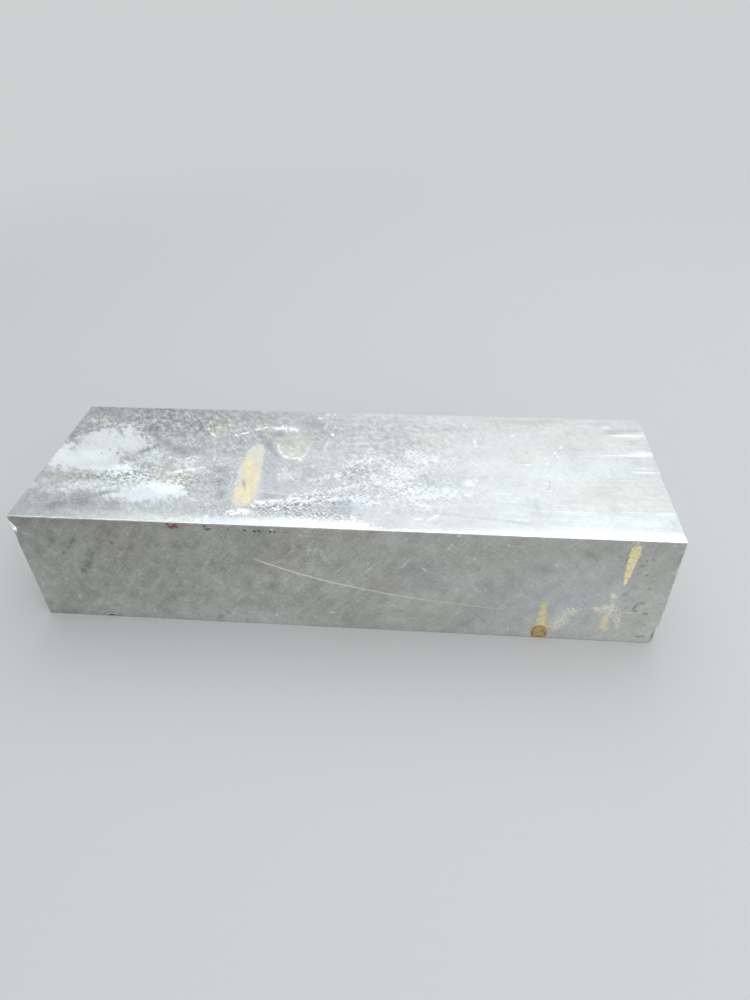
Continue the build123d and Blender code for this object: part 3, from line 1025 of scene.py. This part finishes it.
# The scuffed front: mill finish drawn along the bar, then scuffed both ways in handling, so that it reads as
# a soft grey with a fine mottle. One long scratch, a few dry runs of old coolant and some specks lie on it.
frontSet = {
    "tone": 190,
    "tint": "#FFFFF9",
    "roughness": 0.45,
    "relief": 0.012,
    "grains": {  # noises, as on the top
        "fine": (1.2, 1, -50, 5, 13, 0.75), "grit": (0.5, 0.5, 0, 2, 14), "mottle": (6, 4.4, -50, 5, 15, 0.7),
        "rising": (16, 0.6, -50, 3, 16), "falling": (13, 0.6, 44, 3, 17), "slow": (26, 14, -40, 3, 18),
        "drawn": (24, 0.6, 0, 4, 19),
    },
    "grainZone": (
        (30, 20, 170, 90, 14),
    ),
    # slow changes of tone, most of them painted light and shade: brighter towards the right and along the
    # bottom, darker at the upper left
    "broad": (
        (215, 54, 170, 46, 36), (10, 0, 130, 34, -26), (205, 30, 30, 24, 11), (234, 18, 20, 26, -5),
        (60, 48, 60, 12, 22), (60, 40, 30, 14, 8), (140, 22, 20, 10, -5), (165, 44, 16, 10, -4),
        (90, 50, 40, 8, 8),
    ),
    # dull smears: start, end, width and levels down
    "smears": (
        (27.4, 14.6, 26, 20, 1.5, 14), (26, 20, 22.6, 25, 2.1, 21), (20.6, 23.4, 22, 28, 1.8, 22),
        (23.6, 7.6, 20, 13, 0.9, 17), (20, 13, 18.4, 16, 0.8, 12), (36, 10, 36.4, 12.6, 1.2, 17),
        (34, 8.6, 36, 11, 0.7, 9), (45, 10, 41, 15.6, 1.8, 10), (41, 15.6, 37.4, 21, 1.6, 12),
        (15.6, 17.4, 17, 16.6, 1.1, 14), (12.4, 9, 14, 12.6, 1.5, 10), (70, 49, 71.6, 46.6, 1.8, 26),
        (73.6, 46, 75.2, 44, 1.6, 20), (76, 43, 84, 35, 1.9, 9), (55, 35, 48, 43, 2.4, 9),
        (60, 29, 55, 34, 1.9, 10), (96, 27, 90, 33, 2.1, 10), (75, 15, 69, 23, 1.9, 10),
        (85, 25, 85, 33, 2.7, 9), (65, 22, 70, 18, 1.6, 8), (47, 24, 44, 30, 1.6, 7),
        (30, 30, 26, 36, 1.6, 8), (8, 10, 6, 20, 1.9, 6), (92, 6, 96, 12, 2.1, 9), (102, 6, 99, 15, 2.2, 9),
        (146, 14, 142, 22, 2.4, 8), (156, 27, 158, 30, 2.4, 9), (168, 15, 169, 18, 1.9, 10),
        (204, 6, 207, 9, 1.9, 12), (190, 14, 195, 17, 3.2, 10), (132, 36, 137, 33, 2.4, 6),
        (222, 30.6, 223.6, 33.6, 1.3, 10), (218.5, 5, 218.2, 13, 0.5, 16), (224.6, 9, 225.4, 8.6, 0.9, 26),
        (226.8, 8.6, 227.2, 7.8, 0.9, 26), (223.8, 11, 224.2, 12.2, 0.8, 20), (226, 15.8, 227, 15.4, 0.9, 26),
        (228.4, 21.6, 228.8, 23.4, 1, 24), (222, 21, 226, 24, 2.4, 8), (220, 24, 222, 27, 2, 12),
        (219.4, 19, 219.6, 22, 0.6, 22), (60.4, 8.6, 62, 9.6, 0.8, 6), (182, 46, 183, 50, 0.6, 10),
        (167, 37, 175, 45, 0.8, 12), (163, 44, 171, 50, 0.8, 8), (36.4, 11.6, 35.8, 10.4, 0.9, 12),
        (20.4, 12.6, 21, 11.4, 0.8, 12), (16.4, 17.2, 15.4, 16.6, 0.9, 12), (21, 24, 22, 27, 1.2, 10),
    ),
    # bright nicks and scuffs, in levels up; the lines along the right edge, past 234 across, are a painted
    # highlight on the arris, and the two over the nick a painted highlight on its lip
    "ticks": (
        (38.2, 15, 38.5, 16, 0.6, 26), (38.8, 16.6, 38.9, 17.2, 0.5, 16), (43.2, 5.6, 43.4, 7.4, 0.45, 34),
        (12.4, 29.6, 13.8, 32, 0.75, 26), (157, 8.6, 160, 3.4, 0.52, 22), (160.8, 0.8, 161.8, 1.4, 0.6, 46),
        (177.4, 3.6, 179, 5.2, 0.6, 26), (178, 4.6, 184, 4.8, 0.38, 18), (195.2, 11.6, 195.8, 14, 0.45, 22),
        (129.2, 14.8, 129.8, 16.4, 0.52, 34), (149, 17, 150.4, 18.2, 0.75, 36),
        (153.6, 12.6, 153.8, 15.6, 0.5, 13), (166.6, 10.4, 167.4, 12.4, 0.5, 18),
        (161, 26.6, 162, 28.2, 0.6, 14), (171.4, 25, 172.4, 27.6, 0.7, 12),
        (113.6, 42.4, 117.4, 42, 0.52, 34), (108, 44.8, 109, 45.6, 0.52, 30), (93, 44.6, 93.6, 46.4, 0.6, 30),
        (87.6, 47.6, 89, 48.4, 0.6, 30), (44, 45, 45, 48, 0.9, 22), (16, 38, 15, 42, 1.12, 18),
        (112, 9, 116, 18, 1.5, 14), (108, 7, 109, 12, 0.75, 16), (132, 16, 128, 21, 0.6, 18),
        (144, 14, 141.4, 17, 0.38, 22), (206, 21, 222, 35, 0.3, 5), (221, 34.8, 225.4, 35, 0.45, 26),
        (216.4, 25.6, 217.4, 28, 0.6, 40), (214.6, 33, 216.4, 32, 0.75, 40), (211.6, 33.6, 213, 34, 0.6, 36),
        (217, 33, 218.6, 34, 0.6, 36), (217.6, 30, 217.8, 32.6, 0.3, 24), (96, 1.2, 96.8, 2, 0.45, 60),
        (20, 46, 26, 38, 2.25, 8), (6, 24, 10, 29, 1.65, 12), (3, 7, 6, 9, 1.12, 14),
        (40, 26, 47, 22, 1.65, 8), (75, 46, 82, 38, 0.6, 10), (181.6, 45.6, 182, 48.6, 0.45, 30),
        (167, 24, 170, 29, 0.9, 10), (24, 49.9, 26.3, 49.2, 0.3, 34), (26.3, 49.2, 29, 49.7, 0.35, 44),
        (236.25, 1, 236.25, 18, 0.3, 34), (236.25, 12, 236.25, 34, 0.3, 30), (236.25, 30, 236.2, 42, 0.3, 34),
        (235.6, 41, 236, 50, 0.4, 46), (234.8, 43, 234, 46, 0.3, 30),
    ),
    # small dark marks, with hard edges
    "darkMarks": (
        (225.6, 31.8, 0.45, 1.7, 15), (226, 33.6, 1, 0.6, 20), (227.3, 29.5, 1, 0.4),
        (228.5, 30, 0.5, 0.3, 40), (230, 35, 1, 0.5, 5), (229.6, 47.4, 0.8, 0.5), (231.2, 47.2, 0.9, 0.5),
        (234.6, 46, 0.4, 3), (235.2, 49.6, 0.4, 1),
    ),
    # where it is scuffed into bright flecks
    "fleckZone": (
        (110, 12, 16, 14, 1.2), (98, 37, 14, 16, 0.9), (160, 10, 16, 12, 0.6), (134, 36, 14, 10, 0.7),
        (78, 14, 10, 16, 0.7), (52, 28, 30, 14, 0.4),
    ),
    # specks of old ink
    "black": (
        (73.2, 2.6, 1.1, 0.7), (72.4, 1.3, 0.5, 0.5), (74, 2.2, 0.5, 0.5), (81, 2.4, 0.35, 0.4),
        (86.8, 2.6, 0.7, 0.5), (90.2, 2.6, 0.75, 0.5), (91.8, 2.6, 0.6, 0.5), (95.7, 2.6, 0.5, 0.45),
        (97.3, 2.6, 0.5, 0.45), (100.6, 2.5, 0.35, 0.3), (93, 2.3, 0.25, 0.25), (101.4, 2.7, 0.25, 0.25),
    ),
    "red": (
        (61.3, 1.6, 0.8, 0.7), (60.4, 2.4, 0.7, 0.6), (62.2, 2.2, 0.5, 0.5), (59.2, 1, 0.5, 0.5),
        (59.6, 2.1, 0.4, 0.4), (61.8, 0.9, 0.5, 0.4),
    ),
    "redFaint": (
        (18.5, 1.6, 3.4, 1.4, 0.6), (10, 1, 6, 1, 0.35), (47, 1.6, 12, 2, 0.3), (124, 2.2, 16, 2.4, 0.35),
        (66, 1, 8, 1.4, 0.3), (58.6, 9, 2, 1.6, 0.3), (30, 0.8, 8, 1, 0.3), (61, 1.6, 3.6, 2.6, 0.5),
    ),
    # runs of old coolant: pale yellow where thin, brown where they ended in a drop
    "yellow": (
        (220.5, 6.4, 1.75, 3.6, 3), (220.3, 10.6, 1.55, 4, 4), (220.15, 15, 1.15, 3.6, 4),
        (220, 18.4, 0.7, 3, 4), (221, 3.8, 0.8, 0.8), (219.6, 3.9, 0.7, 0.7),
    ),
    "cluster": (
        (216.3, 39.6, 1.3, 2.4, 8), (216.6, 42.6, 1.5, 1.7), (217.6, 43.6, 0.9, 1),
    ),
    "drip": (
        (193.6, 33.6, 0.85, 2.4), (193.7, 37, 1.2, 3), (193.9, 40.6, 1.5, 3), (194.2, 43.4, 2.1, 2.2),
        (195.8, 45.6, 0.8, 1.4, 20),
    ),
    "specks": (
        (200.2, 41, 3, 1.9, -55), (203.6, 35.8, 2.4, 1.3, -30), (202, 38.4, 1.4, 1.1, -40),
        (198.4, 44.4, 1.3, 1), (213.4, 33.6, 1.6, 1.1), (216.6, 33, 2, 1.6), (217.6, 35.6, 1.4, 1.8),
        (220.8, 38, 0.8, 3.6, -6), (220.4, 2.2, 1.4, 1), (217.2, 27, 0.9, 1.6),
    ),
    "brown": (
        (193.5, 47, 2.8, 3), (193.4, 49.6, 2.4, 1.6),
    ),
    "brownCore": (
        (193.8, 44.6, 1.7, 0.5), (191.8, 45.4, 1, 0.45, -50), (195.5, 45.8, 1.2, 0.6, 55),
        (191.2, 48.4, 0.55, 1.8), (195.9, 48, 0.45, 1.5), (193.6, 50.3, 2.2, 0.6), (194.7, 46.8, 0.5, 1),
    ),
    "tints": (
        ("#F8FBFF", (
            (204, 30, 26, 24, 0.9), (180, 44, 24, 10, 0.5), (182, 26, 20, 14, 0.5), (150, 22, 24, 14, 0.4),
            (65, 49, 30, 5, 0.6), (95, 48, 30, 4, 0.4),
        )),
        ("#F8FFF6", (
            (20, 38, 24, 12, 0.7), (88, 8, 14, 10, 0.5), (188, 10, 16, 12, 0.5),
        )),
        ("#FFFAF4", (
            (100, 10, 12, 8, 0.7), (97, 20, 10, 6, 0.6), (40, 10, 14, 8, 0.4), (135, 26, 12, 6, 0.5),
        )),
    ),
}


def scratchMasks(tree, ruler):
    # the long scratch: near its curve, begun by its left end and faded out before its right
    axes = addNode(tree, "ShaderNodeSeparateXYZ", links={0: ruler})
    run = addNode(tree, "ShaderNodeMath", {"operation": "MULTIPLY_ADD"},
                  {0: axes.outputs[0], 1: -1 / scratchSet["run"], 2: scratchSet["start"] / scratchSet["run"]})
    curve = addNode(tree, "ShaderNodeMath", {"operation": "EXPONENT"}, {0: run.outputs[0]})
    level = addNode(tree, "ShaderNodeMath", {"operation": "MULTIPLY_ADD"},
                    {0: curve.outputs[0], 1: -scratchSet["drop"], 2: scratchSet["level"]})
    off = addNode(tree, "ShaderNodeMath", {"operation": "SUBTRACT"},
                  {0: axes.outputs[1], 1: level.outputs[0]})
    gap = addNode(tree, "ShaderNodeMath", {"operation": "ABSOLUTE"}, {0: off.outputs[0]}).outputs[0]
    across = axes.outputs[0]
    return ((gap, 1.4 * scratchSet["width"], 0.05), (across, scratchSet["from"], scratchSet["from"] + 5),
            (across, scratchSet["to"], scratchSet["from"]))


def paintFront():
    finish, tree = newFinish("scuffedMillAluminium")
    ruler = sideRuler(tree, "front")
    near = wander(tree, ruler, 0.8, 1.6, 20)
    loose = wander(tree, ruler, 6, 8, 21)
    fine, grit, mottle, rising, falling, slow, drawn = grainsOf(tree, ruler, frontSet)

    # bare metal, its scuffs and the scratch
    texture = vary(tree, vary(tree, fine, mottle, 1.9), grit, 0.6)
    # broad tones: painted light and shade, brighter towards the right and the bottom, darker at the upper
    # left
    tone = varyAll(tree, smudges(tree, loose, frontSet["broad"], frontSet["tone"]), (
        (slow, 30), (rising, 15), (falling, 21), (drawn, 8),
        (texture, smudges(tree, ruler, frontSet["grainZone"], 24))))
    paint = coats(tree, tinted(tree, loose, tone, frontSet), (
        (((rising, 0.62, 0.72),), 5),
        (((fine, 0.6, 0.68),), 14),
        ((smudges(tree, loose, frontSet["fleckZone"]), (fine, 0.52, 0.64)), 20),
        ((strokes(tree, near, frontSet["smears"]),), -1),
        # bright ticks, with a painted highlight down the right edge and on the nick's lip
        ((strokes(tree, near, frontSet["ticks"]),), 1),
        ((ragged(tree, ruler, frontSet["darkMarks"], fine, 1.2, 0.3),), -38),
        ((*scratchMasks(tree, ruler), (fine, 0.24, 0.56)), 96)))

    # specks of ink, then runs of coolant
    yellow = ragged(tree, ruler, frontSet["yellow"], fine, 0.5, 0.12)
    drip = ragged(tree, ruler, frontSet["drip"], fine, 1.7, 0.3)
    paint = coats(tree, paint, (
        ((ragged(tree, near, frontSet["black"], grit, 0.8, 0.14),), -62),
        ((smudges(tree, near, frontSet["redFaint"]),), 0, "#FFD9D7"),
        ((ragged(tree, near, frontSet["red"], grit, 0.8, 0.2),), -22, "#FFA0A0"),
        ((ragged(tree, near, frontSet["specks"], vary(tree, fine, grit, 1), 6, 0.4),), 30, "#FFFDEC"),
        ((yellow,), 50, "#FFF2BE"),
        ((ragged(tree, ruler, frontSet["cluster"], fine, 2, 0.2),), 42, "#FFF5C8"),
        ((drip,), 17, "#FFF1B8"),
        ((ragged(tree, near, frontSet["brown"], fine, 0.6, 0.2),), -8, "#FFE3A0"),
        ((ragged(tree, near, frontSet["brownCore"], fine, 1.2, 0.35),), -42, "#FFDA98")))
    paint = flecks(tree, paint, yellow, fine, (0.52, 0.6), (0.46, 0.38), 16)

    rough = vary(tree, frontSet["roughness"], slow, 0.1)
    metallic = vary(tree, 1, either(tree, yellow, drip), -0.5, 0)
    height = vary(tree, vary(tree, vary(tree, 0, rising, 0.5), fine, 0.6), falling, 0.4)
    setMetal(tree, paint, rough, metallic, height, frontSet["relief"])
    return finish


# The back and the underside, which the photograph does not show: plain mill finish, with the fine straight
# lines that the bar was drawn with and the same faint tarnish as the front
plainSet = {
    "tone": 194,
    "tint": "#FAFFFF",
    "roughness": 0.45,
    "relief": 0.015,
    "grains": {
        "drawn": (60, 0.45, 0, 4, 31), "grit": (0.6, 0.6, 0, 2, 32), "mottle": (4, 2.6, 20, 5, 33),
        "slow": (26, 14, 0, 3, 34), "scuffs": (9, 0.5, -38, 2, 35),
    },
}


def paintPlain(name, side):
    finish, tree = newFinish(name)
    drawn, grit, mottle, slow, scuffs = grainsOf(tree, sideRuler(tree, side), plainSet)
    tone = varyAll(tree, plainSet["tone"], ((drawn, 44), (grit, 26), (mottle, 44), (slow, 50)))
    paint = coat(tree, (tone, linear(plainSet["tint"])), ((scuffs, 0.62, 0.72),), 16)
    rough = vary(tree, plainSet["roughness"], mottle, 0.12)
    setMetal(tree, paint, rough, 1, vary(tree, drawn, mottle, 0.4), plainSet["relief"])
    return finish


# Both ends, sawn off on a band saw: bright, with straight fine lines a little off level and a coarser step
# wherever the blade was fed anew
sawnSet = {
    "tone": 208,
    "tint": "#FCFFFF",
    "roughness": 0.4,
    "relief": 0.06,
    "grains": {
        "lines": (90, 0.9, 3, 4, 0), "steps": (120, 4.5, 3, 1, 1), "grit": (0.5, 0.5, 0, 2, 2),
        "slow": (18, 12, 0, 3, 3),
    },
}


def paintSawn(name, side, seed):
    finish, tree = newFinish(name)
    ruler = sideRuler(tree, side)
    lines, steps, grit, slow = [clouds(tree, ruler, long, wide, turn, detail, seed + more).outputs["Fac"]
                                for long, wide, turn, detail, more in sawnSet["grains"].values()]
    tone = varyAll(tree, sawnSet["tone"], ((lines, 90), (steps, 40), (grit, 24), (slow, 34)))
    rough = vary(tree, sawnSet["roughness"], lines, 0.2)
    height = vary(tree, lines, steps, 0.6)
    setMetal(tree, (tone, linear(sawnSet["tint"])), rough, 1, height, sawnSet["relief"])
    return finish


def lumps(tree, many, detail):
    # noise in all three directions, so many to the millimetre, for faces that point every way
    place = addNode(tree, "ShaderNodeTexCoord")
    return addNode(tree, "ShaderNodeTexNoise", {},
                   {"Vector": place.outputs["Object"], "Scale": many / mm, "Detail": detail}).outputs["Fac"]


# The arrises, rubbed bright in handling, and dull where nothing has touched them
cornerSet = {"tone": 232, "tint": "#FCFFFF", "roughness": 0.36, "relief": 0.04, "lumps": 0.3}


def paintCorner():
    finish, tree = newFinish("rubbedCorner")
    grain = lumps(tree, cornerSet["lumps"], 4)
    paint = (vary(tree, cornerSet["tone"], grain, 90), linear(cornerSet["tint"]))
    rough = vary(tree, cornerSet["roughness"], grain, 0.2)
    setMetal(tree, paint, rough, 1, grain, cornerSet["relief"])
    return finish


# Bruised metal: a dull grey, grained, with painted shade under the knock's top and in the nick, and a painted
# highlight on the knock's face
tornSet = {
    "tone": 176,
    "tint": "#FFFFFF",
    "roughness": 0.42,
    "relief": 0.08,
    "lumps": 1.1,
    # tones by place: an oval, its level and how far the grain moves it; the knock's dark line under the top
    # and the dark nick are painted shade, and the white on the knock's face is a painted highlight
    "places": (
        ((0, 1.8, 8, 1.4, 0, 3), 110, 60), ((0, 4.6, 8, 3.4, 0, 5), 255, 10),
        ((236.5, 46, 12, 12, 0, 2.4), 172, 230), ((26.3, 50.8, 8, 6, 0, 2), 70, 110),
    ),
    # the knock's face is folded so that it looks up, into the light: along which axis, from, to and how far
    "folds": (
        (1, 2.2, 7, 120), (0, 0, 3, -40),
    ),
}


def paintTorn():
    finish, tree = newFinish("tornMetal")
    ruler = sideRuler(tree, "front")
    grain = lumps(tree, tornSet["lumps"], 3)
    paint = (vary(tree, tornSet["tone"], grain, 70), linear(tornSet["tint"]))
    # painted shade under the knock's top and in the nick, a painted highlight on the knock's face, and the
    # crushed corner's speckle
    for oval, level, amount in tornSet["places"]:
        paint = coat(tree, paint, (smudges(tree, ruler, (oval,)),), level=vary(tree, level, grain, amount))
    axes = addNode(tree, "ShaderNodeSeparateXYZ", links={0: ruler}).outputs
    height = 0
    for axis, start, end, rise in tornSet["folds"]:
        fold = addNode(tree, "ShaderNodeMapRange", {},
                       {"Value": axes[axis], "From Min": start, "From Max": end, "To Max": rise})
        height = vary(tree, height, fold.outputs[0], 1, 0)
    setMetal(tree, paint, tornSet["roughness"], 1, vary(tree, height, grain, 1), tornSet["relief"])
    return finish


finishes = {
    "top": paintTop(),
    "front": paintFront(),
    "back": paintPlain("millAluminiumBack", "back"),
    "bottom": paintPlain("millAluminiumUnderside", "bottom"),
    "leftEnd": paintSawn("sawnLeftEnd", "leftEnd", 41),
    "rightEnd": paintSawn("sawnRightEnd", "rightEnd", 51),
    "arris": paintCorner(),
    "torn": paintTorn(),
}
print("finishes made")

block = makeBlock(finishes["torn"])
wearBlock(block, block.data.materials.find("tornMetal"))
dress(block, finishes)
# cut into triangles here, so that no sliver is left where small squares meet large ones
finishWith(block, "TRIANGULATE", {"quad_method": "BEAUTY", "ngon_method": "BEAUTY"})
layOut(block)
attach(block, "root")
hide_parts("aluminium_block")
print("block dressed")
